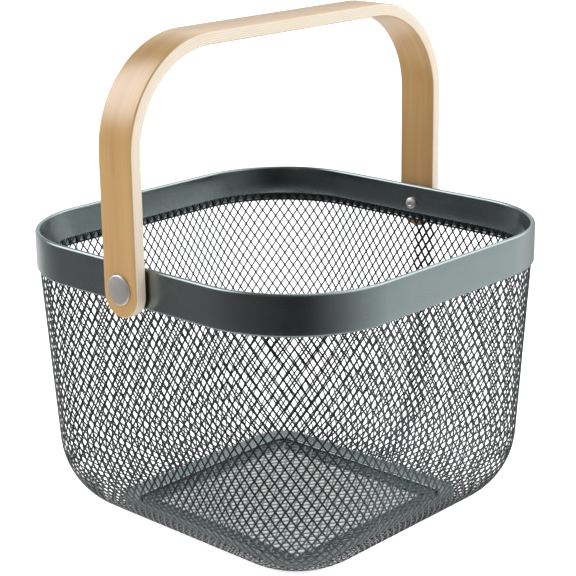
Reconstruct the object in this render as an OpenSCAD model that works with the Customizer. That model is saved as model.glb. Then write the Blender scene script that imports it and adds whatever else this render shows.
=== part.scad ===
// Mesh storage basket with a swinging bentwood handle.
// +Z is up, X runs along the handle's pivots, and the origin is on the floor under the middle.
// An inset is a distance in from the rim's outline, square to it, as seen from above.

/* [Body] */
// Length of the rim along the pivot axis, outside the band
rim_length = 245; // [200:1:320]
// Width of the rim across the pivot axis, outside the band
rim_width = 250; // [200:1:320]
// Height of the rim above the floor
rim_height = 179; // [140:1:240]
// Radius of the rim's corners in plan
rim_corner_r = 66; // [58:1:80]
// Lean of the wall from upright, in degrees
wall_lean = 3.5; // [1.5:0.1:5]
// Radius of the curve that turns the wall into the bottom
bottom_curve_r = 50; // [46:1:56]

/* [Rim band] */
// Height of the band's outer leg
band_h = 23.5; // [20:0.5:32]
// Height of the band's inner leg
band_inner_h = 18; // [17:0.5:19]
// Thickness of the band from outer to inner face
band_t = 3.2; // [2.8:0.1:4]
// Thickness of the steel strip that the band, ring and frame are made of
strip_t = 0.8; // [0.6:0.1:0.9]

/* [Mesh] */
// Width of one diamond of the expanded mesh
diamond_w = 6; // [5:0.5:9]
// Height of one diamond of the expanded mesh
diamond_h = 8.6; // [7:0.2:12]
// Width of a mesh strand
strand_w = 0.65; // [0.4:0.05:1]
// Thickness of the mesh sheet
mesh_t = 0.8; // [0.5:0.1:0.9]
// Real diamonds across one modelled opening, each way
coarseness = 3; // [2:1:5]
// Width of the lap where the two ends of the wall sheet are welded
lap_w = 13; // [10:1:24]

/* [Bottom] */
// Inset of the groove between the wall's ring and the base
groove_inset = 54; // [48:0.5:55]
// Width of the groove
groove_w = 1.6; // [0.8:0.1:2]
// Width of the ring inside the wall's foot, along its curve
ring_w = 9.5; // [7:0.5:18]
// Width of the flat frame under the base mesh
frame_w = 13; // [8:0.5:20]

/* [Handle] */
// Thickness of the bent wood
wood_t = 7.6; // [6:0.1:10]
// Width of the bent wood
wood_w = 26; // [22:0.5:34]
// Outer radius of the handle's bends
bend_r = 61; // [40:1:66]
// Drop of the pivot axis below the top of the rim
pivot_drop = 12; // [10:0.5:13]
// Gap between the folded handle and the rim
fold_clearance = 0.5; // [0.5:0.1:4]
// Drop of a leg's rounded end below a half circle about the pivot
leg_drop = 3; // [0:0.5:6]

/* [Pivot] */
// Diameter of the barrel that the handle turns on
barrel_d = 8; // [6:0.5:10]
// Diameter of the barrel's domed head
head_d = 17; // [14:0.5:20]
// Height of the domed head
head_h = 1.8; // [1.2:0.1:3]
// Running clearance round the barrel, on the radius
bore_clearance = 0.05; // [0.02:0.01:0.1]
// Side play on each face of the handle
side_play = 0.2; // [0.1:0.05:0.4]
// Thickness of the washer between band and handle
washer_t = 0.9; // [0.5:0.1:2]
// Diameter of the washer
washer_d = 15; // [13:0.5:17]
// Diameter of the screw that holds the barrel from inside
screw_d = 4; // [3:0.5:4.5]
// Length of the screw in the barrel
screw_reach = 6; // [4:0.5:7]
// Diameter of the screw's head
screw_head_d = 7.4; // [6:0.2:9]
// Height of the screw's head
screw_head_h = 2.2; // [1.8:0.1:3]
// Size across the flats of the screw's socket
socket_w = 2.5; // [2:0.5:3]

/* [Hidden] */
$fn = 48;

// Depth by which a cut runs past the faces that it opens
overrun = 1;
// Straight sides between the rim's corners, and the foot of the band
side_x = rim_length - 2 * rim_corner_r;
side_y = rim_width - 2 * rim_corner_r;
band_bottom = rim_height - band_h;

// Outer face of the wall sheet: upright in the band, then leaning, then the bottom curve
tab_inset = band_t - strip_t - mesh_t;
tab_top = rim_height - band_t / 2;
curve_z = strip_t + bottom_curve_r;
lean_length = (band_bottom - curve_z + bottom_curve_r * sin(wall_lean)) / cos(wall_lean);
curve_inset = tab_inset + lean_length * sin(wall_lean) + bottom_curve_r * cos(wall_lean);

// Ring inside the wall's foot: its lip stands in the groove, and the sheet ends beside the frame
ring_r = bottom_curve_r - mesh_t;
lip_angle = acos((curve_inset - groove_inset) / ring_r);
ring_angle = lip_angle - ring_w / ring_r * 180 / PI;
sheet_end_angle = lip_angle - strip_t / ring_r * 180 / PI;
curve_length = bottom_curve_r * (sheet_end_angle - wall_lean) * PI / 180;

// Base: a flat frame on the floor carries the mesh panel
frame_inset = groove_inset - strip_t;
panel_inset = groove_inset + strip_t + groove_w;

// Openings of the mesh
cell_w = diamond_w * coarseness;
cell_h = diamond_h * coarseness;
web_w = strand_w * coarseness;
cells_per_quarter = round(quarter_length(0) / cell_w);
lap_cells = max(1, round(lap_w / cell_w));

// Handle and pivots
pivot_z = rim_height - pivot_drop;
leg_inner_x = rim_length / 2 + washer_t + side_play;
leg_outer_x = leg_inner_x + wood_t;
rim_reach = norm([rim_width / 2, max(pivot_drop, pivot_z - band_bottom)]);
grip_top = pivot_z + rim_reach + fold_clearance + wood_t;
head_x = leg_outer_x + side_play;
screw_seat_x = rim_length / 2 - band_t;
dome_edge_share = 0.25;
socket_share = 0.6;

paint = [0.36, 0.41, 0.41];
mesh_paint = [0.28, 0.31, 0.32];
wood = [0.80, 0.64, 0.44];
steel = [0.78, 0.78, 0.77];

// Rounded rectangle of the rim's plan, drawn in by an inset
module plan(inset) {
    corner = max(rim_corner_r - inset, strip_t);
    x = rim_length / 2 - inset;
    y = rim_width / 2 - inset;
    square([2 * x, 2 * (y - corner)], center = true);
    square([2 * (x - corner), 2 * y], center = true);
    for (sx = [-1, 1], sy = [-1, 1])
        translate([sx * (x - corner), sy * (y - corner)])
            circle(r = corner);
}

// Carries a section once round the rim's plan. The section has the rim's outline at x = 0,
// insets along -x, and heights along y.
module round_the_rim() {
    for (turn = [0, 180]) rotate(turn) {
        translate([side_x / 2, side_y / 2])
            rotate_extrude(angle = 90) translate([rim_corner_r, 0]) children();
        translate([-side_x / 2, side_y / 2]) rotate(90)
            rotate_extrude(angle = 90) translate([rim_corner_r, 0]) children();
        translate([rim_length / 2, side_y / 2]) rotate([90, 0, 0])
            linear_extrude(side_y) children();
        translate([-side_x / 2, rim_width / 2]) rotate([90, 0, 90])
            linear_extrude(side_x) children();
    }
}

// Quarter of a flat ring, from +x to +y
module quarter_ring(outer_r, inner_r) {
    intersection() {
        difference() {
            circle(r = outer_r);
            circle(r = inner_r);
        }
        square(outer_r);
    }
}

// Sets its children at the left or right pivot: their +Z runs outwards from the middle
module at_pivot(side) {
    translate([0, 0, pivot_z]) rotate(side > 0 ? 0 : 180) rotate([0, 90, 0]) children();
}

module band_section() {
    fold_r = band_t / 2;
    lip_r = tab_inset;
    translate([-fold_r, rim_height - fold_r]) {
        quarter_ring(fold_r, fold_r - strip_t);
        mirror([1, 0]) quarter_ring(fold_r, fold_r - strip_t);
    }
    translate([-strip_t, band_bottom + lip_r])
        square([strip_t, band_h - fold_r - lip_r]);
    translate([-band_t, rim_height - band_inner_h])
        square([strip_t, band_inner_h - fold_r]);
    translate([-lip_r, band_bottom + lip_r])
        mirror([0, 1]) quarter_ring(lip_r, lip_r - strip_t);
}

module screw_hole(side) {
    at_pivot(side) translate([0, 0, screw_seat_x - overrun])
        cylinder(d = screw_d + 2 * bore_clearance, h = band_t + 2 * overrun);
}

module rim_band() {
    color(paint) difference() {
        round_the_rim() band_section();
        for (side = [-1, 1]) screw_hole(side);
    }
}

// Point on the wall sheet's face at a depth inside it, at an angle round the bottom curve
function curve_point(angle, depth) = [
    (bottom_curve_r - depth) * cos(angle) - curve_inset,
    curve_z - (bottom_curve_r - depth) * sin(angle)
];

// Wedge that spans the bottom curve from one angle to another
module curve_wedge(from, to) {
    reach = 2 * bottom_curve_r;
    translate([-curve_inset, curve_z]) polygon([
        [0, 0],
        for (a = [from, (from + to) / 2, to]) reach * [cos(a), -sin(a)]
    ]);
}

// Arc of the mesh sheet round the bottom curve, with its outer face at a depth
module curve_arc(depth) {
    intersection() {
        translate([-curve_inset, curve_z]) difference() {
            circle(r = bottom_curve_r - depth);
            circle(r = bottom_curve_r - depth - mesh_t);
        }
        curve_wedge(wall_lean, sheet_end_angle);
    }
}

module sheet_section() {
    polygon([
        [-tab_inset - mesh_t, tab_top], [-tab_inset, tab_top], [-tab_inset, band_bottom],
        curve_point(wall_lean, 0), curve_point(wall_lean, mesh_t),
        [-tab_inset - mesh_t, band_bottom]
    ]);
    curve_arc(0);
}

// Place on the sheet's outer face at a distance down from the band's foot:
// its inset, its height and its lean from upright
function sheet_place(s) = s < 0
    ? [tab_inset, band_bottom - s, 0]
    : s < lean_length
    ? [tab_inset + s * sin(wall_lean), band_bottom - s * cos(wall_lean), wall_lean]
    : let (a = wall_lean + (s - lean_length) / bottom_curve_r * 180 / PI)
        [-curve_point(a, 0)[0], curve_point(a, 0)[1], a];

// Quarter of the way round at an inset, from the middle of the right side to that of the back
function quarter_length(inset) = side_x / 2 + side_y / 2 + (rim_corner_r - inset) * PI / 2;

// Place round the rim at a share of that quarter: [x, y, heading]. The shares stay as the wall
// draws in, so the rows slide towards the corners on their way down.
function quarter_place(share, inset) = let (
        r = rim_corner_r - inset, d = share * quarter_length(inset) - side_y / 2,
        a = min(max(d / r * 180 / PI, 0), 90)
    )
    [
        side_x / 2 + r * cos(a) - max(d - r * PI / 2, 0),
        side_y / 2 + r * sin(a) + min(d, 0), a
    ];

// The same for the first two quarters, with the second one mirrored
function rim_place(share, inset) = share <= 1
    ? quarter_place(share, inset)
    : let (m = quarter_place(2 - share, inset)) [-m[0], m[1], 180 - m[2]];

// Slide of the rows along the rim from one distance down the wall to another
function slide(share, from_s, to_s) = let (
        from = rim_place(share, sheet_place(from_s)[0]),
        to = rim_place(share, sheet_place(to_s)[0])
    )
    (to[1] - from[1]) * cos(from[2]) - (to[0] - from[0]) * sin(from[2]);

// One diamond opening, narrowed by the web on all sides, with its tips slid aside
module diamond(half_w, half_h, top = 0, bottom = 0) {
    slant = max(abs(top), abs(bottom));
    share = 1 - web_w / 2 * norm([half_w + slant, half_h]) / (half_w * half_h);
    polygon(share * [[top, half_h], [-half_w, 0], [bottom, -half_h], [half_w, 0]]);
}

// Cutter for one opening: stands on the sheet at a share round the rim and down the wall.
// It reaches in to where the bottom curve has drawn the opening's tips.
module opening(share, s) {
    half_h = cell_h / 2;
    at = sheet_place(s);
    place = rim_place(share, at[0]);
    depth = mesh_t + pow(half_h, 2) / (2 * bottom_curve_r) + overrun;
    translate([place[0], place[1], at[1]])
        rotate([0, 0, place[2]]) rotate([0, 90 + at[2], 0]) rotate(90)
            translate([0, 0, -depth]) linear_extrude(depth + mesh_t + overrun)
                diamond(quarter_length(at[0]) / cells_per_quarter / 2, half_h,
                    slide(share, s, s - half_h), slide(share, s, s + half_h));
}

module row_of_openings(s, shift) {
    for (turn = [0, 180], k = [0:2 * cells_per_quarter - 1])
        rotate(turn) opening((k + shift) / cells_per_quarter, s);
}

// Second layer outside the sheet, where its two ends are welded on the right side
module lap() {
    lap_y = lap_cells * quarter_length(0) / cells_per_quarter;
    translate([rim_length / 2, lap_y / 2, 0]) rotate([90, 0, 0]) linear_extrude(lap_y) {
        polygon([
            [-tab_inset, band_bottom], curve_point(wall_lean, 0),
            curve_point(wall_lean, -mesh_t),
            [-tab_inset + mesh_t / cos(wall_lean), band_bottom]
        ]);
        curve_arc(-mesh_t);
    }
}

module wall_mesh() {
    first = band_inner_h - band_h + cell_h / 2;
    rows = floor((lean_length + curve_length - first) / (cell_h / 2));
    color(mesh_paint) difference() {
        union() {
            round_the_rim() sheet_section();
            lap();
        }
        for (row = [0:rows]) row_of_openings(first + row * cell_h / 2, (row % 2) / 2);
        for (side = [-1, 1]) screw_hole(side);
    }
}

// Strip that lies on the sheet's inner face, with a lip that stands down on the base frame
module ring_section() {
    lip_inset = groove_inset + strip_t;
    bend_angle = acos((curve_inset - lip_inset) / (ring_r - strip_t));
    difference() {
        union() {
            intersection() {
                translate([-curve_inset, curve_z]) circle(r = ring_r);
                curve_wedge(ring_angle, bend_angle);
            }
            translate([-lip_inset, strip_t]) square([strip_t, curve_z / 2]);
        }
        translate([-curve_inset, curve_z]) circle(r = ring_r - strip_t);
    }
}

module bottom_ring() {
    color(paint) round_the_rim() ring_section();
}

module base_frame() {
    color(paint) linear_extrude(strip_t) difference() {
        plan(frame_inset);
        plan(frame_inset + frame_w);
    }
}

module base_mesh() {
    cols = ceil((rim_length / 2 - panel_inset) / (cell_h / 2));
    rows = ceil((rim_width / 2 - panel_inset) / cell_w);
    color(mesh_paint) translate([0, 0, strip_t]) linear_extrude(mesh_t) difference() {
        plan(panel_inset);
        intersection() {
            plan(panel_inset + web_w);
            for (col = [-cols:cols], row = [-rows:rows])
                translate([col * cell_h / 2, (row + abs(col % 2) / 2) * cell_w])
                    rotate(90) diamond(cell_w / 2, cell_h / 2);
        }
    }
}

// Outline of an arch that stands on the legs' feet, with rounded shoulders
module arch(half_span, top, shoulder_r, foot) {
    translate([-half_span, foot]) square([2 * half_span, top - shoulder_r - foot]);
    translate([shoulder_r - half_span, foot])
        square([2 * (half_span - shoulder_r), top - foot]);
    for (side = [-1, 1])
        translate([side * (half_span - shoulder_r), top - shoulder_r])
            circle(r = shoulder_r);
}

// Side view of the handle: straight edges and a round lower end
module leg_side_view() {
    end_z = pivot_z - leg_drop;
    translate([0, end_z]) circle(d = wood_w);
    translate([-wood_w / 2, end_z]) square([wood_w, grip_top + overrun - end_z]);
}

module handle() {
    foot = pivot_z - leg_drop - wood_w / 2;
    color(wood) difference() {
        intersection() {
            translate([0, wood_w / 2, 0]) rotate([90, 0, 0]) linear_extrude(wood_w)
                difference() {
                    arch(leg_outer_x, grip_top, bend_r, foot);
                    arch(leg_inner_x, grip_top - wood_t, bend_r - wood_t, foot - overrun);
                }
            translate([-leg_outer_x - overrun, 0, 0]) rotate([90, 0, 90])
                linear_extrude(2 * (leg_outer_x + overrun)) leg_side_view();
        }
        for (side = [-1, 1]) at_pivot(side) translate([0, 0, leg_inner_x - overrun])
            cylinder(r = barrel_d / 2 + bore_clearance, h = wood_t + 2 * overrun);
    }
}

// Disc with a domed outer face, standing on its flat face
module domed_head(diameter, height) {
    cap_h = height * (1 - dome_edge_share);
    dome_r = (pow(diameter / 2, 2) + pow(cap_h, 2)) / (2 * cap_h);
    intersection() {
        cylinder(d = diameter, h = height);
        translate([0, 0, height - dome_r]) sphere(r = dome_r);
    }
}

module barrel(side) {
    color(steel) at_pivot(side) difference() {
        union() {
            translate([0, 0, rim_length / 2])
                cylinder(d = barrel_d, h = head_x - rim_length / 2);
            translate([0, 0, head_x]) domed_head(head_d, head_h);
        }
        translate([0, 0, rim_length / 2 - overrun])
            cylinder(d = screw_d + 2 * bore_clearance, h = screw_reach + 2 * overrun);
    }
}

module screw(side) {
    color(steel) at_pivot(side) translate([0, 0, screw_seat_x]) difference() {
        union() {
            cylinder(d = screw_d, h = band_t + screw_reach);
            mirror([0, 0, 1]) domed_head(screw_head_d, screw_head_h);
        }
        translate([0, 0, -screw_head_h - overrun])
            cylinder(d = socket_w / cos(30), h = overrun + screw_head_h * socket_share, $fn = 6);
    }
}

module washer(side) {
    color(steel) at_pivot(side) translate([0, 0, rim_length / 2]) difference() {
        cylinder(d = washer_d, h = washer_t);
        translate([0, 0, -overrun])
            cylinder(r = barrel_d / 2 + bore_clearance, h = washer_t + 2 * overrun);
    }
}

rim_band();
wall_mesh();
bottom_ring();
base_frame();
base_mesh();
handle();
barrel(-1);  // left_barrel
barrel(1);  // right_barrel
screw(-1);  // left_screw
screw(1);  // right_screw
washer(-1);  // left_washer
washer(1);  // right_washer
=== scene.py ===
"""Mesh storage basket with a bentwood handle: the looks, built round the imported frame.

Sizes are in millimetres and turned into metres where a mesh is made. An inset is a distance in
from the rim's outline, square to it, as seen from above, as in the part's source.
"""
import math

import bmesh
import bpy
import numpy as np
from mathutils import Matrix, Vector


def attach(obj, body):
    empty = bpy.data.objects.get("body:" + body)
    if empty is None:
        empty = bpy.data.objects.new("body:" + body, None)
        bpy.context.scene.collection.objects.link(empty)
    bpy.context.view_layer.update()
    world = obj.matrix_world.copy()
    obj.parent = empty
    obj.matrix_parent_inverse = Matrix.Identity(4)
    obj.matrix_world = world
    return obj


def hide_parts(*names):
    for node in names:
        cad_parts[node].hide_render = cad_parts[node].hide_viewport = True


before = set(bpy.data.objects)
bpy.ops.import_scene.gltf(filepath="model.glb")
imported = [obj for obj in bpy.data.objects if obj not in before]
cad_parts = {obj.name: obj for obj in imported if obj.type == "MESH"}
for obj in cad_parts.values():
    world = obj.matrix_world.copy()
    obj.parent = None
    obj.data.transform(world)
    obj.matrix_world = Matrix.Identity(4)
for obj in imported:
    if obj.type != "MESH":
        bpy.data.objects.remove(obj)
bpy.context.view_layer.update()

MM = 0.001
PI = math.pi

# Sizes of the part
RIM_LENGTH, RIM_WIDTH, RIM_HEIGHT, CORNER_R = 245.0, 250.0, 179.0, 66.0
WALL_LEAN = math.radians(3.5)
CURVE_R = 50.0
BAND_H, BAND_INNER_H, BAND_T, STRIP_T = 23.5, 18.0, 3.2, 0.8
MESH_T = 0.8
GROOVE_INSET, GROOVE_W, RING_W, FRAME_W = 54.0, 1.6, 9.5, 13.0
WOOD_T, WOOD_W, BEND_R = 7.6, 26.0, 61.0
PIVOT_DROP, LEG_DROP, FOLD_CLEARANCE = 12.0, 3.0, 0.5
BARREL_D, HEAD_D, HEAD_H, SIDE_PLAY = 8.0, 17.0, 1.8, 0.2
WASHER_T, WASHER_D = 0.9, 15.0
SCREW_D, SCREW_REACH, SCREW_HEAD_D, SCREW_HEAD_H, SOCKET_W = 4.0, 6.0, 7.4, 2.2, 2.5

# Places worked out from the sizes
SIDE_X = RIM_LENGTH - 2 * CORNER_R
SIDE_Y = RIM_WIDTH - 2 * CORNER_R
BAND_BOTTOM = RIM_HEIGHT - BAND_H
TAB_INSET = BAND_T - STRIP_T - MESH_T
CURVE_Z = STRIP_T + CURVE_R
LEAN_LENGTH = (BAND_BOTTOM - CURVE_Z + CURVE_R * math.sin(WALL_LEAN)) / math.cos(WALL_LEAN)
CURVE_INSET = TAB_INSET + LEAN_LENGTH * math.sin(WALL_LEAN) + CURVE_R * math.cos(WALL_LEAN)
RING_R = CURVE_R - MESH_T
LIP_ANGLE = math.acos((CURVE_INSET - GROOVE_INSET) / RING_R)
RING_ANGLE = LIP_ANGLE - RING_W / RING_R
SHEET_END = LEAN_LENGTH + CURVE_R * (LIP_ANGLE - STRIP_T / RING_R - WALL_LEAN)
PANEL_INSET = GROOVE_INSET + STRIP_T + GROOVE_W
PIVOT_Z = RIM_HEIGHT - PIVOT_DROP
LEG_INNER_X = RIM_LENGTH / 2 + WASHER_T + SIDE_PLAY
LEG_OUTER_X = LEG_INNER_X + WOOD_T
RIM_REACH = math.hypot(RIM_WIDTH / 2, PIVOT_Z - BAND_BOTTOM)
GRIP_TOP = PIVOT_Z + RIM_REACH + FOLD_CLEARANCE + WOOD_T
HEAD_X = LEG_OUTER_X + SIDE_PLAY

# Camera, fitted to the photo, with azimuth and elevation in degrees and the roll in radians
CAMERA_AZIMUTH, CAMERA_ELEVATION, CAMERA_ROLL = -46.889, 17.051, -0.014
CAMERA_DISTANCE, CAMERA_AIM_Z, CAMERA_RIGHT, CAMERA_UP = 1000.859, 93.715, 1.011, 41.783
CAMERA_FOCAL_PX, FRAME_PX, SENSOR = 1646.868, 576, 36.0
# Nearest and furthest place that the camera sees, in metres
CLIP_START, CLIP_END = 0.01, 50


def make_camera():
    a, e = math.radians(CAMERA_AZIMUTH), math.radians(CAMERA_ELEVATION)
    back = Vector((math.sin(a) * math.cos(e), -math.cos(a) * math.cos(e), math.sin(e)))
    right = (-back).cross(Vector((0, 0, 1))).normalized()
    up = right.cross(-back)
    place = Vector((0, 0, CAMERA_AIM_Z)) + right * CAMERA_RIGHT + up * CAMERA_UP
    place += back * CAMERA_DISTANCE
    c, s = math.cos(CAMERA_ROLL), math.sin(CAMERA_ROLL)
    right, up = right * c + up * s, up * c - right * s
    data = bpy.data.cameras.new("camera")
    data.sensor_width = SENSOR
    data.lens = CAMERA_FOCAL_PX / FRAME_PX * SENSOR
    data.clip_start, data.clip_end = CLIP_START, CLIP_END
    camera = bpy.data.objects.new("camera", data)
    camera.matrix_world = Matrix((
        (right.x, up.x, back.x, place.x * MM),
        (right.y, up.y, back.y, place.y * MM),
        (right.z, up.z, back.z, place.z * MM),
        (0, 0, 0, 1)))
    bpy.context.scene.collection.objects.link(camera)
    bpy.context.scene.camera = camera


make_camera()


# Shapes
def new_object(name, points, faces, flat=None, smooth=40):
    """A mesh object from points in millimetres. Edges sharper than smooth degrees stay sharp.

    flat gives each point's place on a strip laid flat, which a material can read.
    """
    mesh = bpy.data.meshes.new(name)
    mesh.from_pydata((np.asarray(points, dtype=float) * MM).tolist(), [], faces)
    mesh.validate()
    if flat is not None:
        layer = mesh.attributes.new("strip_place", "FLOAT_VECTOR", "POINT")
        layer.data.foreach_set("vector", (np.asarray(flat, dtype=float) * MM).ravel())
    if smooth:
        mesh.shade_smooth()
        mesh.set_sharp_from_angle(angle=math.radians(smooth))
    thing = bpy.data.objects.new(name, mesh)
    bpy.context.scene.collection.objects.link(thing)
    return thing


def ring_faces(rings, size, closed=True):
    """Faces that join each ring of points to the next one, as indices of the points."""
    faces = []
    for i in range(rings if closed else rings - 1):
        j = (i + 1) % rings
        for k in range(size):
            after = (k + 1) % size
            faces.append((i * size + k, j * size + k, j * size + after, i * size + after))
    return faces


def arc_points(cx, cy, rx, ry, start, end, steps):
    """Points on an arc of an ellipse, both ends included."""
    angles = [start + (end - start) * k / steps for k in range(steps + 1)]
    return [(cx + rx * math.cos(a), cy + ry * math.sin(a)) for a in angles]


def rim_place(distance, inset):
    """Place on the outline at an inset, by distance round it from the middle of the right side."""
    r = CORNER_R - inset
    arc = r * PI / 2
    quarter = SIDE_X / 2 + SIDE_Y / 2 + arc
    turns, rest = divmod(distance, 2 * quarter)
    mirrored = rest > quarter
    if mirrored:
        rest = 2 * quarter - rest
    d = rest - SIDE_Y / 2
    a = min(max(d / r, 0), PI / 2)
    x = SIDE_X / 2 + r * math.cos(a) - max(d - arc, 0)
    y = SIDE_Y / 2 + r * math.sin(a) + min(d, 0)
    if mirrored:
        x, a = -x, PI - a
    if int(turns) % 2:
        x, y, a = -x, -y, a + PI
    return x, y, a


def outline_length(inset):
    return 2 * (SIDE_X + SIDE_Y) + 2 * PI * (CORNER_R - inset)


def stations(per_corner=28, per_side=6):
    """Centre of curvature and heading of each station once round the rim's plan."""
    corners = ((1, 1), (-1, 1), (-1, -1), (1, -1))
    out = []
    for q, (sx, sy) in enumerate(corners):
        for k in range(per_corner + 1):
            out.append((sx * SIDE_X / 2, sy * SIDE_Y / 2, (q + k / per_corner) * PI / 2))
        nx, ny = corners[(q + 1) % 4]
        for k in range(1, per_side):
            t = k / per_side
            out.append((
                SIDE_X / 2 * (sx + (nx - sx) * t), SIDE_Y / 2 * (sy + (ny - sy) * t),
                (q + 1) * PI / 2))
    return out


def sweep_round(name, section, smooth=40):
    """Carries a closed section, a list of (inset, height), once round the rim's plan."""
    places = stations()
    points = []
    for cx, cy, a in places:
        for inset, z in section:
            r = CORNER_R - inset
            points.append((cx + r * math.cos(a), cy + r * math.sin(a), z))
    return new_object(name, points, ring_faces(len(places), len(section)), smooth=smooth)


def strip_outline(line, thickness, round_steps=3):
    """Closed outline of a strip of sheet metal with rounded edges along a centre line."""
    line = [Vector(p) for p in line]
    half = thickness / 2
    sides = []
    for i, p in enumerate(line):
        before = line[max(i - 1, 0)]
        after = line[min(i + 1, len(line) - 1)]
        d = (after - before).normalized()
        sides.append((p, Vector((-d.y, d.x)), d))
    out = [tuple(p + n * half) for p, n, d in sides]
    p, n, d = sides[-1]
    for k in range(1, round_steps):
        t = PI * k / round_steps
        out.append(tuple(p + n * half * math.cos(t) + d * half * math.sin(t)))
    out += [tuple(p - n * half) for p, n, d in reversed(sides)]
    p, n, d = sides[0]
    for k in range(1, round_steps):
        t = PI * k / round_steps
        out.append(tuple(p - n * half * math.cos(t) - d * half * math.sin(t)))
    return out


def lathe(name, profile, side, steps=64, smooth=35):
    """Turns a closed profile, a list of (distance out from the pivot's middle, radius)."""
    points = []
    for k in range(steps):
        a = 2 * PI * k / steps
        for x, r in profile:
            points.append((side * x, r * math.cos(a), PIVOT_Z + r * math.sin(a)))
    faces = ring_faces(steps, len(profile))
    if side > 0:
        faces = [face[::-1] for face in faces]
    return new_object(name, points, faces, smooth=smooth)


# Expanded mesh
CELL_W, CELL_H, STRAND_W = 6.0, 8.6, 0.94
SHEET_T, STRAND_TWIST = 0.38, 0.02
# Level and upright sections through a slanting strand, in strand widths
LEVEL_SECTION, UPRIGHT_SECTION = 1.22, 1.75
# An opening's least width in shares of its cell, and where its tips are cut in shares of its height
NARROWEST_SHARE, TIP_SHARE = 0.35, 0.97
CELLS_ROUND, WALL_ROWS = 146, 44
WALL_FIRST = SHEET_END - WALL_ROWS * CELL_H / 2
# How far the half openings at a sheet's ends lie in from the end, in half cells
END_MARGIN = 0.13
# The lap lies outside the wall, and starts at a column counted from the middle of the right side
LAP_ROWS, LAP_COLUMNS, LAP_START = 40, 3, -2.84
LAP_GAP, LAP_DROP = 0.05, 0.18
# How near counts as on the panel, and as the same point
ON_PANEL, SAME_POINT = 1e-6, 1e-4


def lattice(rows, columns, closed, half_ends):
    """Faces of a staggered diamond lattice with six-sided openings.

    Gives nodes as (column, row, 0, 0), then opening corners as (column, row, side, height), where
    side and height run from -1 to 1 over the cell, and the faces, as indices of both. Columns are
    counted in halves while the cells are laid out.
    """
    nodes, index = [], {}

    def node(half_column, row):
        if closed:
            half_column %= 2 * columns
        key = (half_column, row)
        if key not in index:
            index[key] = len(nodes)
            nodes.append((half_column / 2, row, 0, 0))
        return index[key]

    cells = []
    first, last = (0, rows) if half_ends else (1, rows - 1)
    for row in range(first, last + 1):
        shift = (row + 1) % 2
        for k in range(columns if closed or not shift else columns - 1):
            cells.append((2 * k + shift + (0 if closed else 1), row))
    for middle, row in cells:
        node(middle - 1, row)
        node(middle + 1, row)
        if row > 0:
            node(middle, row - 1)
        if row < rows:
            node(middle, row + 1)

    corners, faces = [], []
    for middle, row in cells:
        left, right = node(middle - 1, row), node(middle + 1, row)
        if row == 0:
            around = ((-1, 0), (1, 0), (1, -1), (-1, -1))
        elif row == rows:
            around = ((-1, 0), (-1, 1), (1, 1), (1, 0))
        else:
            around = ((-1, 0), (-1, 1), (1, 1), (1, 0), (1, -1), (-1, -1))
        at = len(nodes) + len(corners)
        h = [at + i for i in range(len(around))]
        corners += [(middle / 2, row, side, height) for side, height in around]
        if row > 0:
            up = node(middle, row - 1)
            faces += [(up, left, h[0], h[1]), (up, h[1], h[2]), (up, h[2], h[3], right)]
        if row == rows:
            faces.append((right, h[3], h[0], left))
        elif row > 0:
            down = node(middle, row + 1)
            faces += [(down, right, h[3], h[4]), (down, h[4], h[5]), (down, h[5], h[0], left)]
        else:
            down = node(middle, 1)
            faces += [(down, right, h[1], h[2]), (down, h[2], h[3]), (down, h[3], h[0], left),
                      (left, h[0], h[1], right)]
    return nodes + corners, faces


def thicken(name, front, back, faces):
    """A closed sheet from its front and back points and the faces that both share."""
    n = len(front)
    edges = dict.fromkeys((v, f[(i + 1) % len(f)]) for f in faces for i, v in enumerate(f))
    walls = [(b, a, a + n, b + n) for a, b in edges if (b, a) not in edges]
    rear = [tuple(v + n for v in reversed(f)) for f in faces]
    return new_object(name, list(front) + list(back), list(faces) + rear + walls, smooth=0)


def opening_corner(side, height, width):
    """Offset of an opening's corner from its middle, in shares of the cell."""
    full_w = max(1 - STRAND_W * LEVEL_SECTION / width, NARROWEST_SHARE)
    full_h = 1 - STRAND_W * UPRIGHT_SECTION / CELL_H
    if height == 0:
        return side * full_w, 0.0
    return side * full_w * (1 - TIP_SHARE), -height * full_h * TIP_SHARE


def strand_twist(side, height):
    """Depth of an opening's corner in from the middle of the twisted sheet."""
    return -side * STRAND_TWIST * (1 if height == 0 else 0.5)


def sheet_place(s):
    """Inset, height and lean of the wall's outer face at a distance down from the band's foot."""
    if s < 0:
        return TAB_INSET, BAND_BOTTOM - s, 0.0
    if s < LEAN_LENGTH:
        return TAB_INSET + s * math.sin(WALL_LEAN), BAND_BOTTOM - s * math.cos(WALL_LEAN), WALL_LEAN
    a = WALL_LEAN + (s - LEAN_LENGTH) / CURVE_R
    return CURVE_INSET - CURVE_R * math.cos(a), CURVE_Z - CURVE_R * math.sin(a), a


def wall_point(column, s, depth):
    inset, z, lean = sheet_place(s)
    x, y, a = rim_place(column / CELLS_ROUND * outline_length(inset), inset)
    out = -depth * math.cos(lean)
    return x + out * math.cos(a), y + out * math.sin(a), z + depth * math.sin(lean)


def wall_sheet(name, rows, first_s, columns, closed, start=0.0, depth=0.0, drop=0.0):
    """Mesh that follows the wall, with its outer face at a depth in from the wall's own."""
    corners, faces = lattice(rows, columns, closed, True)
    front, back = [], []
    for column, row, side, height in corners:
        s = first_s + row * CELL_H / 2
        du, ds = 0, 0
        if side:
            du, ds = opening_corner(side, height, outline_length(sheet_place(s)[0]) / CELLS_ROUND)
            if height == 0 and row in (0, rows):
                ds = END_MARGIN if row == 0 else -END_MARGIN
        u = start + column + du / 2
        s += ds * CELL_H / 2 + drop
        face_depth = depth + STRAND_TWIST + strand_twist(side, height)
        front.append(wall_point(u, s, face_depth))
        back.append(wall_point(u, s, face_depth + SHEET_T))
    return thicken(name, front, back, faces)


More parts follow.
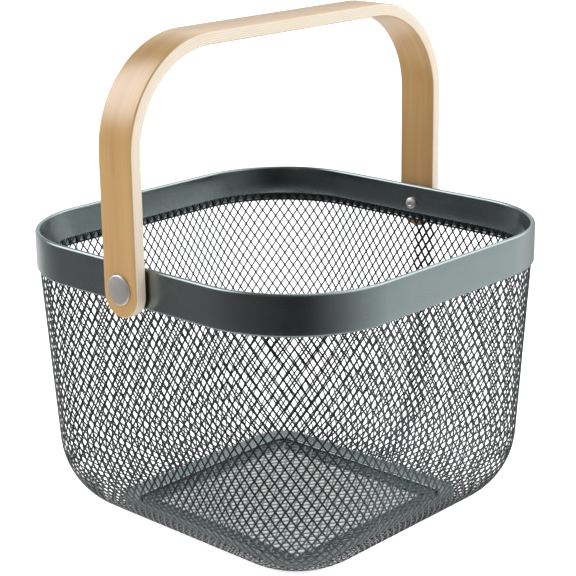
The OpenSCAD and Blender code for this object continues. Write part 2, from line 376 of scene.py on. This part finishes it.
def base_panel():
    """Flat mesh panel of the base, with the long way of its diamonds along X."""
    half_x = RIM_LENGTH / 2 - PANEL_INSET
    half_y = RIM_WIDTH / 2 - PANEL_INSET
    corner = CORNER_R - PANEL_INSET
    rows = 2 * math.ceil(half_x / (CELL_H / 2)) + 2
    columns = 2 * math.ceil(half_y / CELL_W) + 2

    def clamp(x, y):
        """The nearest place on the panel."""
        ax, ay = abs(x), abs(y)
        bx, by = half_x - corner, half_y - corner
        if ax > bx and ay > by:
            d = math.hypot(ax - bx, ay - by)
            if d > corner:
                ax, ay = bx + (ax - bx) / d * corner, by + (ay - by) / d * corner
        ax, ay = min(ax, half_x), min(ay, half_y)
        return math.copysign(ax, x), math.copysign(ay, y)

    corners, faces = lattice(rows, columns, False, False)
    flat, inside = [], []
    for column, row, side, height in corners:
        du, dv = opening_corner(side, height, CELL_W) if side else (0, 0)
        y = (column + du / 2 - columns / 2) * CELL_W
        x = (row + dv - rows / 2) * CELL_H / 2
        cx, cy = clamp(x, y)
        inside.append(math.hypot(cx - x, cy - y) < ON_PANEL)
        flat.append((cx, cy, strand_twist(side, height)))
    kept = []
    for f in faces:
        if not any(inside[v] for v in f):
            continue
        ring = []
        for v in f:
            if not ring or math.dist(flat[v][:2], flat[ring[-1]][:2]) > SAME_POINT:
                ring.append(v)
        if len(ring) > 2:
            kept.append(tuple(ring))
    top = STRIP_T + MESH_T - STRAND_TWIST
    front = [(x, y, top + t) for x, y, t in flat]
    back = [(x, y, top + t - SHEET_T) for x, y, t in flat]
    return thicken("base_mesh_strands", front, back, kept)


wall = wall_sheet("wall_mesh_strands", WALL_ROWS, WALL_FIRST, CELLS_ROUND, True)
lap = wall_sheet("wall_mesh_lap", LAP_ROWS, WALL_FIRST + CELL_H / 2, LAP_COLUMNS, False,
                 LAP_START, -SHEET_T - LAP_GAP, LAP_DROP)
panel = base_panel()

# Band, ring and frame: straight stretches next to the band's folds, and the ring's bend to its lip
ROLL_STRAIGHT, FOOT_STRAIGHT = 6.0, 4.0
ROLL_STEPS, FOOT_STEPS, RING_STEPS = 12, 6, 12
LIP_CUT, LIP_EASE_IN, LIP_EASE_DROP, LIP_BEND_DROP = 0.4, 0.12, 0.25, 0.6
SHADOW_T = 0.05


def rim_band():
    """Folded strip: inner leg, rolled top, outer leg, and a foot that curls in to the mesh."""
    half = STRIP_T / 2
    fold_r = BAND_T / 2
    inner = BAND_T - half
    roll_z = RIM_HEIGHT - fold_r
    foot_z = BAND_BOTTOM + TAB_INSET
    line = [(inner, RIM_HEIGHT - BAND_INNER_H + half), (inner, roll_z - ROLL_STRAIGHT)]
    line += arc_points(fold_r, roll_z, fold_r - half, fold_r - half, 0, PI, ROLL_STEPS)
    line += [(half, roll_z - ROLL_STRAIGHT), (half, foot_z + FOOT_STRAIGHT)]
    line += arc_points(TAB_INSET, foot_z, TAB_INSET - half, TAB_INSET - half, PI, 1.5 * PI, FOOT_STEPS)
    return sweep_round("rim_band_skin", strip_outline(line, STRIP_T))


def bottom_ring():
    """Curved strip inside the wall's foot, with a lip that stands on the base frame."""
    half = STRIP_T / 2
    r = RING_R - half
    lip_inset = GROOVE_INSET + half
    start = RING_ANGLE + half / RING_R
    end = math.acos((CURVE_INSET - lip_inset + LIP_CUT) / r)
    line = arc_points(CURVE_INSET, CURVE_Z, r, r, PI + start, PI + end, RING_STEPS)
    end_z = line[-1][1]
    line += [(lip_inset - LIP_EASE_IN, end_z - LIP_EASE_DROP), (lip_inset, end_z - LIP_BEND_DROP),
             (lip_inset, STRIP_T + half)]
    return sweep_round("bottom_ring_skin", strip_outline(line, STRIP_T))


def base_frame():
    """Flat strip on the floor, under the ring's lip and the edge of the base mesh."""
    half = STRIP_T / 2
    outer = GROOVE_INSET - STRIP_T
    line = [(outer + half, half), (outer + FRAME_W - half, half)]
    return sweep_round("base_frame_skin", strip_outline(line, STRIP_T))


def groove_shadow():
    """Near-black sheet on the groove's floor between the ring's lip and the panel: painted shade."""
    outer = GROOVE_INSET + STRIP_T
    return sweep_round("groove_shadow", [
        (outer, STRIP_T), (PANEL_INSET, STRIP_T), (PANEL_INSET, STRIP_T + SHADOW_T),
        (outer, STRIP_T + SHADOW_T)], smooth=0)


band = rim_band()
ring = bottom_ring()
hem = base_frame()
shadow = groove_shadow()

# Handle: the centre line of its strip runs from the centre of one round end to the other
LINE_X = LEG_INNER_X + WOOD_T / 2
LINE_TOP = GRIP_TOP - WOOD_T / 2
LINE_R = BEND_R - WOOD_T / 2
LINE_FOOT = PIVOT_Z - LEG_DROP
LEG_LENGTH = LINE_TOP - LINE_R - LINE_FOOT
BEND_LENGTH = LINE_R * PI / 2
GRIP_LENGTH = 2 * (LINE_X - LINE_R)
LINE_LENGTH = 2 * LEG_LENGTH + 2 * BEND_LENGTH + GRIP_LENGTH
END_STEPS, LEG_STEPS, BEND_STEPS, GRIP_STEPS = 20, 10, 30, 8
WOOD_EDGE_R, WOOD_EDGE_STEPS, WOOD_SMOOTH = 1.1, 4, 35
# How near two points are joined, in metres
WELD_DISTANCE = 1e-6


def handle_path(at):
    """Point (x, z) and outward direction at a distance along the centre line."""
    if at > LINE_LENGTH / 2:
        x, z, out_x, out_z = handle_path(LINE_LENGTH - at)
        return -x, z, -out_x, out_z
    if at < LEG_LENGTH:
        return -LINE_X, LINE_FOOT + at, -1.0, 0.0
    a = (at - LEG_LENGTH) / LINE_R
    if a < PI / 2:
        return (-LINE_X + LINE_R - LINE_R * math.cos(a), LINE_TOP - LINE_R + LINE_R * math.sin(a),
                -math.cos(a), math.sin(a))
    return -LINE_X + LINE_R + at - LEG_LENGTH - BEND_LENGTH, LINE_TOP, 0.0, 1.0


def handle_stations():
    """Stations along the strip: distance, half width, and outward direction of its outline there."""
    r = WOOD_W / 2
    out = []
    for k in range(END_STEPS):
        a = PI / 2 * (1 - k / END_STEPS)
        out.append((-r * math.sin(a), r * math.cos(a), -math.sin(a), math.cos(a)))
    start = 0
    leg, bend, top = (LEG_LENGTH, LEG_STEPS), (BEND_LENGTH, BEND_STEPS), (GRIP_LENGTH, GRIP_STEPS)
    for length, steps in (leg, bend, top, bend, leg):
        out += [(start + length * k / steps, r, 0.0, 1.0) for k in range(steps)]
        start += length
    for k in range(END_STEPS + 1):
        a = PI / 2 * k / END_STEPS
        out.append((LINE_LENGTH + r * math.sin(a), r * math.cos(a), math.sin(a), math.cos(a)))
    return out


def handle():
    """Bent strip: stations along its length, each with a cross section of rounded edges."""
    edge = []
    for k in range(WOOD_EDGE_STEPS + 1):
        a = PI / 2 * k / WOOD_EDGE_STEPS
        edge.append((WOOD_EDGE_R * (1 - math.sin(a)), WOOD_T / 2 - WOOD_EDGE_R * (1 - math.cos(a))))
    edge += [(inset, -depth) for inset, depth in reversed(edge)]
    places = handle_stations()
    points, flat = [], []
    for along, half_width, out_along, out_across in places:
        for sign in (1, -1):
            for inset, depth in edge[::sign]:
                at = along - inset * out_along
                y = sign * (half_width - inset * out_across)
                x, z, out_x, out_z = handle_path(at)
                points.append((x + out_x * depth, y, z + out_z * depth))
                flat.append((at, y, depth))
    faces = [(a, d, c, b) for a, b, c, d in ring_faces(len(places), 2 * len(edge), closed=False)]
    thing = new_object("handle_strip", points, faces, flat=flat, smooth=0)
    close_ends(thing)
    return thing


def close_ends(thing):
    """Joins the points that meet at the tips of the strip's round ends, and shades the strip."""
    work = bmesh.new()
    work.from_mesh(thing.data)
    bmesh.ops.remove_doubles(work, verts=work.verts, dist=WELD_DISTANCE)
    bmesh.ops.recalc_face_normals(work, faces=work.faces)
    work.to_mesh(thing.data)
    work.free()
    thing.data.shade_smooth()
    thing.data.set_sharp_from_angle(angle=math.radians(WOOD_SMOOTH))


grip = handle()

# Pivots. AXIS_R stands for the axis, where a profile reaches it.
AXIS_R = 0.0001
ROUND_STEPS = 5
HEAD_BEVEL_R, HEAD_BEVEL_H, HEAD_EDGE_H = 0.25, 0.2, 0.55
HEAD_ROUND_H, HEAD_ROUND_R = 0.75, 0.9
# Heights above the head's back, and radii, of the low dome inside the rounded edge
HEAD_DOME = ((1.5, 6.3), (1.72, 3.825), (HEAD_H, 0.35), (HEAD_H, AXIS_R))
SCREW_EDGE_H, SCREW_ROUND_H, SCREW_ROUND_R = 1.3, 1.1, 1.2
SOCKET_BEVEL_R, SOCKET_BEVEL_H, SOCKET_H, SOCKET_CONE_H, SOCKET_TAPER = 0.35, 0.15, 1.3, 1.5, 0.96
WASHER_BEVEL, WASHER_PLAY = 0.2, 0.05


def barrel(word, side):
    """Barrel through the washer and the wood, with a domed head outside."""
    rim = RIM_LENGTH / 2
    r = HEAD_D / 2
    edge = HEAD_X + HEAD_EDGE_H
    profile = [(rim, BARREL_D / 2), (HEAD_X, BARREL_D / 2), (HEAD_X, r - HEAD_BEVEL_R),
               (HEAD_X + HEAD_BEVEL_H, r)]
    profile += arc_points(edge, r - HEAD_ROUND_R, HEAD_ROUND_H, HEAD_ROUND_R, PI / 2, 0, ROUND_STEPS)
    profile += [(HEAD_X + height, radius) for height, radius in HEAD_DOME]
    profile += [(rim, AXIS_R)]
    return lathe(word + "_barrel_turned", profile, side)


def screw(word, side):
    """Socket screw from inside the rim, whose plain shank stands in the barrel."""
    rim = RIM_LENGTH / 2
    inner = rim - BAND_T
    top = inner - SCREW_HEAD_H
    h = SCREW_HEAD_D / 2
    socket = SOCKET_W / 2
    profile = [(rim + SCREW_REACH, AXIS_R), (rim + SCREW_REACH, SCREW_D / 2), (inner, SCREW_D / 2),
               (inner, h)]
    profile += arc_points(top + SCREW_EDGE_H, h - SCREW_ROUND_R, SCREW_ROUND_H, SCREW_ROUND_R,
                          PI / 2, PI, ROUND_STEPS)
    profile += [(top, socket + SOCKET_BEVEL_R), (top + SOCKET_BEVEL_H, socket),
                (top + SOCKET_H, socket * SOCKET_TAPER), (top + SOCKET_CONE_H, AXIS_R)]
    return lathe(word + "_screw_turned", profile, side)


def washer(word, side):
    """Washer between the wood and the band."""
    inner = RIM_LENGTH / 2
    outer = inner + WASHER_T
    r = WASHER_D / 2
    bore = BARREL_D / 2 + WASHER_PLAY
    return lathe(word + "_washer_turned", [
        (inner, bore), (inner, r - WASHER_BEVEL), (inner + WASHER_BEVEL, r),
        (outer - WASHER_BEVEL, r), (outer, r - WASHER_BEVEL), (outer, bore)], side)


hardware = []
for word, side in (("left", -1), ("right", 1)):
    hardware += [(barrel(word, side), word + "_barrel"), (screw(word, side), word + "_screw"),
                 (washer(word, side), word + "_washer")]


# Nodes of the materials
def fill(tree, node, inputs):
    """Sets each input of a node, by a link where the value is another node's output."""
    for key, value in inputs.items():
        if isinstance(value, bpy.types.NodeSocket):
            tree.links.new(value, node.inputs[key])
        else:
            node.inputs[key].default_value = value


def add(tree, kind, inputs=None, **settings):
    node = tree.nodes.new(kind)
    for key, value in settings.items():
        setattr(node, key, value)
    fill(tree, node, inputs or {})
    return node


def arithmetic(tree, operation, *values):
    return add(tree, "ShaderNodeMath", dict(enumerate(values)), operation=operation).outputs[0]


def vector_arithmetic(tree, operation, *values, output="Vector"):
    node = add(tree, "ShaderNodeVectorMath", dict(enumerate(values)), operation=operation)
    return node.outputs[output]


def map_range(tree, value, low, high, low_result=0.0, high_result=1.0, kind="LINEAR"):
    node = add(tree, "ShaderNodeMapRange", {
        "Value": value, "From Min": low, "From Max": high,
        "To Min": low_result, "To Max": high_result}, interpolation_type=kind)
    return node.outputs["Result"]


def mix_color(tree, share, first, second):
    node = add(tree, "ShaderNodeMix", {"Factor": share, 6: first, 7: second}, data_type="RGBA")
    return node.outputs[2]


def noise(tree, place, scale=1.0, detail=2.0, roughness=0.5):
    node = add(tree, "ShaderNodeTexNoise", {
        "Vector": place, "Scale": scale, "Detail": detail, "Roughness": roughness})
    return node.outputs["Fac"]


def stretched(tree, place, scale):
    return add(tree, "ShaderNodeMapping", {"Vector": place, "Scale": scale}).outputs["Vector"]


def bump(tree, height, strength, distance):
    node = add(tree, "ShaderNodeBump", {"Height": height, "Strength": strength, "Distance": distance})
    return node.outputs["Normal"]


def object_place(tree):
    return add(tree, "ShaderNodeTexCoord").outputs["Object"]


def ramp(tree, value, stops):
    node = add(tree, "ShaderNodeValToRGB", {"Fac": value})
    elements = node.color_ramp.elements
    while len(elements) < len(stops):
        elements.new(0.5)
    for element, (at, color) in zip(elements, stops):
        element.position = at
        element.color = (*color, 1)
    return node.outputs["Color"]


def new_material(name):
    material = bpy.data.materials.new(name)
    material.use_nodes = True
    tree = material.node_tree
    shader = tree.nodes["Principled BSDF"]
    return material, tree, shader


# Materials: the levels of a noise at which its dark and light tones are reached
CLOUD_LOW, CLOUD_HIGH = 0.3, 0.7

# Paint: the dark and light tone of each coat, and how far its roughness varies
BAND_TONES = (0.205, 0.250, 0.252), (0.235, 0.286, 0.288)
# The wall's mesh and the base panel wear one paint: the wall's tones are darker, painted shade, and
# the panel's lighter, painted light on its face-up strands.
WALL_SHADED_TONES = (0.036, 0.045, 0.046), (0.050, 0.062, 0.063)
PANEL_LIT_TONES = (0.175, 0.214, 0.216), (0.205, 0.250, 0.252)
# Near-black tones of the sheet in the groove: painted shade
SHADOW_TONES = (0.003, 0.004, 0.004), (0.005, 0.006, 0.006)
PAINT_CLOUD, PAINT_SPECKLE = 35.0, 1400.0
PAINT_GLOSSIER, PAINT_DULLER = 0.03, 0.04
PAINT_BUMP, PAINT_BUMP_DEPTH = 0.06, 0.0002
BAND_COAT, COAT_ROUGHNESS = 0.35, 0.15

# Wood: scales of its noises along the strip, across it and through its thickness
STREAK_SCALE = (9.0, 420.0, 150.0)
BROAD_SCALE = (3.5, 70.0, 60.0)
FIBRE_SCALE = (60.0, 2600.0, 900.0)
FACE_TONES = ((0.36, (0.40, 0.225, 0.072)), (0.5, (0.465, 0.272, 0.090)), (0.64, (0.52, 0.320, 0.118)))
EDGE_TONES = ((0.45, (0.62, 0.53, 0.395)), (0.85, (0.72, 0.64, 0.53)))
PLY_T, PLY_CONTRAST, PLY_FIBRE = 1.27, 0.16, 0.3
GRAIN_SHARE, FIBRE_SHARE = 0.4, 0.2
# Depths below the strip's face between which the face's colour turns to the edge's
FACE_FADE_START, FACE_FADE_END = 0.75, 0.45
WOOD_ROUGHNESS, WOOD_BUMP, WOOD_BUMP_DEPTH = (0.26, 0.38), 0.12, 0.0003

# Steel
STEEL_COLOR, STEEL_ROUGHNESS, STEEL_DARK_SHARE = (0.84, 0.84, 0.83), 0.48, 0.9
STEEL_GRAIN, STEEL_CLOUD = 2600.0, 180.0
STEEL_GLOSSIER, STEEL_DULLER = 0.06, 0.08
STEEL_BUMP, STEEL_BUMP_DEPTH = 0.05, 0.0001


def paint(name, tones, roughness, metallic, coat=0.0):
    """Powder coat: a fine orange peel, slightly uneven tone and gloss."""
    material, tree, shader = new_material(name)
    place = object_place(tree)
    cloud = noise(tree, place, PAINT_CLOUD, detail=3.0)
    grain = noise(tree, place, PAINT_SPECKLE)
    tone = arithmetic(tree, "MULTIPLY", arithmetic(tree, "ADD", cloud, grain), 0.5)
    dark, light = tones
    fill(tree, shader, {
        "Base Color": ramp(tree, tone, ((CLOUD_LOW, dark), (CLOUD_HIGH, light))),
        "Roughness": map_range(tree, cloud, CLOUD_LOW, CLOUD_HIGH,
                               roughness - PAINT_GLOSSIER, roughness + PAINT_DULLER),
        "Normal": bump(tree, grain, PAINT_BUMP, PAINT_BUMP_DEPTH),
        "Metallic": metallic,
        "Coat Weight": coat,
        "Coat Roughness": COAT_ROUGHNESS})
    return material


def wood(name):
    """Veneer faces with fine long grain, and pale edges with the layers of the ply."""
    material, tree, shader = new_material(name)
    place = add(tree, "ShaderNodeAttribute", attribute_name="strip_place").outputs["Vector"]
    through = add(tree, "ShaderNodeSeparateXYZ", {"Vector": place}).outputs["Z"]
    streak = noise(tree, stretched(tree, place, STREAK_SCALE), detail=5.0, roughness=0.65)
    broad = noise(tree, stretched(tree, place, BROAD_SCALE), detail=3.0)
    fibre = noise(tree, stretched(tree, place, FIBRE_SCALE))
    grain = arithmetic(tree, "MULTIPLY", arithmetic(tree, "ADD", streak, broad), GRAIN_SHARE)
    grain = arithmetic(tree, "MULTIPLY_ADD", fibre, FIBRE_SHARE, grain)
    layers = arithmetic(tree, "MULTIPLY", through, 2 * PI / (PLY_T * MM))
    layers = arithmetic(tree, "COSINE", layers)
    layers = arithmetic(tree, "MULTIPLY_ADD", layers, PLY_CONTRAST, 0.5)
    layers = arithmetic(tree, "MULTIPLY_ADD", fibre, PLY_FIBRE, layers)
    depth = arithmetic(tree, "ABSOLUTE", through)
    is_face = map_range(tree, depth, (WOOD_T / 2 - FACE_FADE_START) * MM,
                        (WOOD_T / 2 - FACE_FADE_END) * MM)
    edge, face = ramp(tree, layers, EDGE_TONES), ramp(tree, grain, FACE_TONES)
    fill(tree, shader, {
        "Base Color": mix_color(tree, is_face, edge, face),
        "Roughness": map_range(tree, streak, 0.0, 1.0, *WOOD_ROUGHNESS),
        "Normal": bump(tree, grain, WOOD_BUMP, WOOD_BUMP_DEPTH),
        "Specular IOR Level": 0.6,
        "Coat Weight": 0.6,
        "Coat IOR": 1.8,
        "Coat Roughness": 0.22})
    return material


def metal(name, color, roughness):
    """Satin steel with a fine turned and speckled surface."""
    material, tree, shader = new_material(name)
    place = object_place(tree)
    grain = noise(tree, place, STEEL_GRAIN, detail=3.0)
    cloud = noise(tree, place, STEEL_CLOUD)
    dark = tuple(c * STEEL_DARK_SHARE for c in color)
    fill(tree, shader, {
        "Base Color": ramp(tree, cloud, ((CLOUD_LOW, dark), (CLOUD_HIGH, color))),
        "Roughness": map_range(tree, grain, 0.0, 1.0, roughness - STEEL_GLOSSIER,
                               roughness + STEEL_DULLER),
        "Normal": bump(tree, grain, STEEL_BUMP, STEEL_BUMP_DEPTH),
        "Metallic": 1.0})
    return material


band_paint = paint("band_paint", BAND_TONES, roughness=0.23, metallic=0.96, coat=BAND_COAT)
# One mesh paint in two copies: the wall's set darker as painted shade, the base panel's set lighter as
# painted light.
mesh_paint = paint("mesh_paint", WALL_SHADED_TONES, roughness=0.30, metallic=0.85)
panel_paint_lit = paint("panel_paint_lit", PANEL_LIT_TONES, roughness=0.30, metallic=0.92)
groove_dark = paint("groove_dark", SHADOW_TONES, roughness=0.60, metallic=0.0)
birch = wood("birch")
steel = metal("steel", STEEL_COLOR, STEEL_ROUGHNESS)


def dress(thing, material, body, slot, *nodes):
    thing.data.materials.clear()
    thing.data.materials.append(material)
    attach(thing, body)
    if nodes:
        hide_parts(*nodes)


dress(band, band_paint, "basket", "band_paint", "rim_band")
dress(wall, mesh_paint, "basket", "mesh_paint", "wall_mesh")
dress(lap, mesh_paint, "basket", "mesh_paint")
dress(panel, panel_paint_lit, "basket", "mesh_paint", "base_mesh")
dress(ring, band_paint, "basket", "band_paint", "bottom_ring")
dress(hem, band_paint, "basket", "band_paint", "base_frame")
dress(shadow, groove_dark, "basket", "band_paint")
dress(grip, birch, "handle", "birch", "handle")
for thing, node in hardware:
    dress(thing, steel, "basket", "steel", node)

# Floor, with a painted shade under the base inside an outline with round corners
FLOOR_HALF, FLOOR_Z, FLOOR_CLOUD = 6000.0, -0.2, 2.0
FLOOR_TONES = ((0.0, (0.86, 0.86, 0.86)), (1.0, (0.9, 0.9, 0.9)))
SHADE, SHADE_INSET, SHADE_R, SHADE_SOFT, FLOOR_GLOW = 0.48, 45.5, 30.0, 2.5, 0.80
# Above every place on the floor, in metres, so that height doesn't count in the shade
SHADE_TOP = 1.0


def floor():
    """White ground with a painted shade under the base, where its glow is dimmed too."""
    h, z = FLOOR_HALF, FLOOR_Z
    thing = new_object("floor", [(-h, -h, z), (h, -h, z), (h, h, z), (-h, h, z)], [(0, 1, 2, 3)],
                       smooth=0)
    material, tree, shader = new_material("floor_white")
    place = object_place(tree)
    white = ramp(tree, noise(tree, place, FLOOR_CLOUD), FLOOR_TONES)
    core = [(v / 2 - SHADE_INSET - SHADE_R) * MM for v in (RIM_LENGTH, RIM_WIDTH)] + [SHADE_TOP]
    away = vector_arithmetic(tree, "ABSOLUTE", place)
    away = vector_arithmetic(tree, "SUBTRACT", away, core)
    away = vector_arithmetic(tree, "MAXIMUM", away, (0.0, 0.0, 0.0))
    away = vector_arithmetic(tree, "LENGTH", away, output="Value")
    # Painted shade: SHADE under the base, rising to full brightness outside it
    open_share = map_range(tree, away, (SHADE_R - SHADE_SOFT) * MM, SHADE_R * MM, SHADE, 1.0,
                           "SMOOTHSTEP")
    shaded = add(tree, "ShaderNodeVectorMath", {0: white, "Scale": open_share}, operation="SCALE")
    fill(tree, shader, {
        "Base Color": shaded.outputs["Vector"],
        "Roughness": 0.9,
        "Specular IOR Level": 0.0,
        "Emission Color": (1, 1, 1, 1),
        "Emission Strength": arithmetic(tree, "MULTIPLY", open_share, FLOOR_GLOW)})
    thing.data.materials.append(material)
    thing.visible_glossy = False


# Key light, in metres and watts
KEY_PLACE, KEY_AIM, KEY_SIZE, KEY_POWER = (0.3, -1.9, 1.3), (0, 0, 0.12), 1.2, 5


def key_light():
    data = bpy.data.lights.new("key", "AREA")
    data.shape = "SQUARE"
    data.size = KEY_SIZE
    data.energy = KEY_POWER
    light = bpy.data.objects.new("key", data)
    place, aim = Vector(KEY_PLACE), Vector(KEY_AIM)
    light.location = place
    light.rotation_euler = (aim - place).to_track_quat("-Z", "Y").to_euler()
    bpy.context.scene.collection.objects.link(light)


# Brightness of the surroundings by direction round the basket, in degrees from +X towards +Y:
# a little below the horizon, where upright faces look, and above it
LOW_ROUND = (
    (-180, 0.09), (-158, 0.06), (-141, 0.01), (-124, 0.03), (-107, 0.16), (-90, 0.34), (-73, 0.60),
    (-56, 0.85), (-46, 0.90), (-39, 1.09), (-33, 1.35), (-20, 1.20), (-5, 0.88), (10, 0.50),
    (30, 0.52), (42, 0.55), (60, 0.98), (79, 0.92), (95, 0.47), (112, 0.30), (128, 0.22),
    (138, 0.20), (150, 0.17), (165, 0.12), (180, 0.09))
HIGH_ROUND = (
    (-180, 0.15), (-140, 0.15), (-90, 0.60), (-60, 1.30), (-42, 3.20), (-10, 3.20), (5, 1.30),
    (30, 1.25), (43, 1.80), (54, 0.85), (70, 0.30), (90, 0.20), (150, 0.20), (180, 0.15))
# Heights of a direction's unit vector between which one zone turns to the next
LOW_TO_HIGH, GROUND_TO_LOW = (0.20, 0.42), (-0.72, -0.50)
GROUND_LEVEL = 1.1
# Dim directions are slightly warm
WARM_BELOW, WARM_RED, WARM_BLUE = 0.5, 0.20, 0.02
BOX_AZIMUTH, BOX_ELEVATION, BOX_EDGE, BOX_LEVEL = 123.0, 36.0, 0.84, 3.9


def studio():
    """Soft world: bright to the right and behind, a soft box up on the left, dark round the camera."""
    world = bpy.data.worlds.new("studio")
    world.use_nodes = True
    tree = world.node_tree
    bpy.context.scene.world = world
    way = add(tree, "ShaderNodeTexCoord").outputs["Generated"]
    parts = add(tree, "ShaderNodeSeparateXYZ", {"Vector": way})
    angle = arithmetic(tree, "ARCTAN2", parts.outputs["Y"], parts.outputs["X"])
    share = map_range(tree, angle, -PI, PI)

    def rounds(levels):
        stops = []
        for degrees, level in levels:
            warm = max(0.0, 1 - level / WARM_BELOW)
            color = (level * (1 + WARM_RED * warm), level, level * (1 - WARM_BLUE * warm))
            stops.append(((degrees + 180) / 360, color))
        return ramp(tree, share, stops)

    def rise(start, end):
        return map_range(tree, parts.outputs["Z"], start, end, kind="SMOOTHSTEP")

    above = mix_color(tree, rise(*LOW_TO_HIGH), rounds(LOW_ROUND), rounds(HIGH_ROUND))
    ground = (GROUND_LEVEL, GROUND_LEVEL, GROUND_LEVEL, 1)
    round_about = mix_color(tree, rise(*GROUND_TO_LOW), ground, above)
    turn, tilt = math.radians(BOX_AZIMUTH), math.radians(BOX_ELEVATION)
    box = (math.cos(turn) * math.cos(tilt), math.sin(turn) * math.cos(tilt), math.sin(tilt))
    near = vector_arithmetic(tree, "DOT_PRODUCT", way, box, output="Value")
    glow = map_range(tree, near, BOX_EDGE, 1.0, 0.0, BOX_LEVEL, "SMOOTHSTEP")
    round_about = vector_arithmetic(tree, "ADD", round_about, glow)
    is_camera = add(tree, "ShaderNodeLightPath").outputs["Is Camera Ray"]
    fill(tree, tree.nodes["Background"], {
        "Color": mix_color(tree, is_camera, round_about, (1, 1, 1, 1)), "Strength": 1.0})


floor()
key_light()
studio()
bpy.context.scene.view_settings.view_transform = "Standard"
